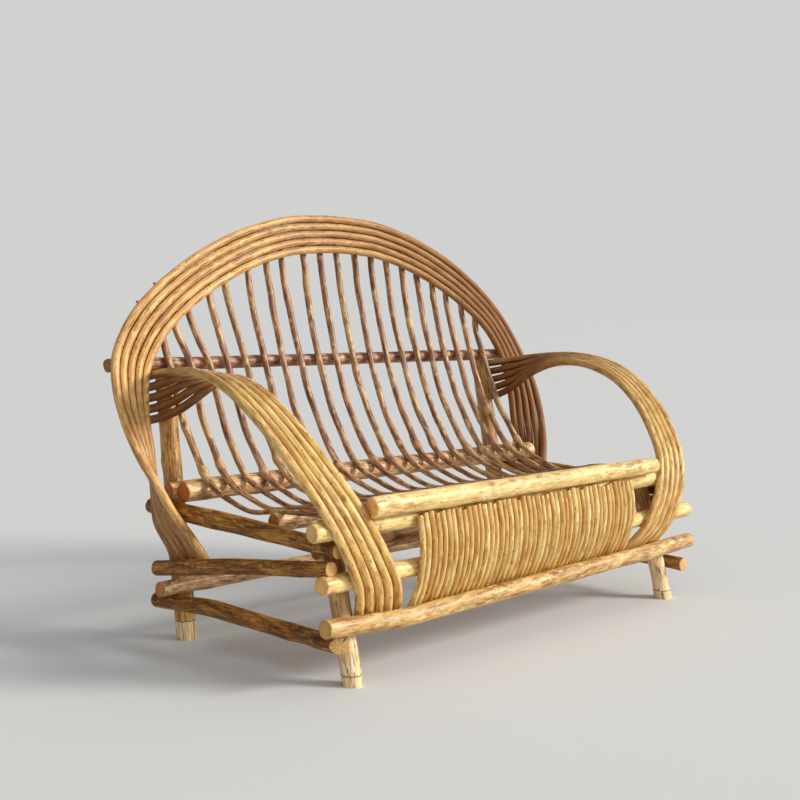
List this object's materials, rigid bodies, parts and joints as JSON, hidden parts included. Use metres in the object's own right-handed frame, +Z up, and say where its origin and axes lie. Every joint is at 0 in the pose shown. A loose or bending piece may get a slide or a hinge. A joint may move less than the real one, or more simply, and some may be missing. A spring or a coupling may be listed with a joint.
{
  "type": "bent branch sofa",
  "caption": "Wide rustic settee of bark-on branches: a bent-rod arch back, looped rod arms, curved seat slats and a stick front panel.",
  "frame": {"origin": "bottom centre of the bounding box, on the floor", "axes": "+X along the seat's width to the viewer's right, +Y towards the back, +Z up"},
  "size_m": [1.5016, 0.7879, 1.0472],
  "materials": {
    "arch_rods": "satin",
    "arm_rods": "satin",
    "slats": "satin",
    "panel_sticks": "satin",
    "posts": "satin",
    "front_rails": "satin",
    "side_rails": "satin",
    "back_logs": "satin"
  },
  "bodies": {
    "root": {"front_leg_left": "posts", "front_leg_right": "posts", "rear_post_left": "posts", "rear_post_right": "posts", "seat_front_rail": "front_rails", "upper_front_cross_rail": "front_rails", "lower_front_cross_rail": "front_rails", "inner_cross_rail": "back_logs", "front_bottom_rail": "front_rails", "top_back_rail": "back_logs", "low_back_log_front": "back_logs", "low_back_log_rear": "back_logs", "seat_support_log": "back_logs", "rear_cross_rail": "back_logs", "seat_side_rail_left": "side_rails", "seat_side_rail_right": "side_rails", "mid_side_rail_left": "side_rails", "mid_side_rail_right": "side_rails", "bottom_side_rail_left": "side_rails", "bottom_side_rail_right": "side_rails", "front_panel_sticks": "panel_sticks", "arch_rod_1": "arch_rods", "arch_rod_2": "arch_rods", "arch_rod_3": "arch_rods", "arch_rod_4": "arch_rods", "arch_rod_5": "arch_rods", "arm_rod_left_1": "arm_rods", "arm_rod_left_2": "arm_rods", "arm_rod_left_3": "arm_rods", "arm_rod_left_4": "arm_rods", "arm_rod_left_5": "arm_rods", "arm_rod_right_1": "arm_rods", "arm_rod_right_2": "arm_rods", "arm_rod_right_3": "arm_rods", "arm_rod_right_4": "arm_rods", "arm_rod_right_5": "arm_rods", "seat_slat_01": "slats", "seat_slat_02": "slats", "seat_slat_03": "slats", "seat_slat_04": "slats", "seat_slat_05": "slats", "seat_slat_06": "slats", "seat_slat_07": "slats", "seat_slat_08": "slats", "seat_slat_09": "slats", "seat_slat_10": "slats", "seat_slat_11": "slats", "seat_slat_12": "slats", "seat_slat_13": "slats", "seat_slat_14": "slats", "seat_slat_15": "slats", "seat_slat_16": "slats", "seat_slat_17": "slats", "seat_slat_18": "slats", "seat_slat_19": "slats", "seat_slat_20": "slats"}
  },
  "joints": []
}
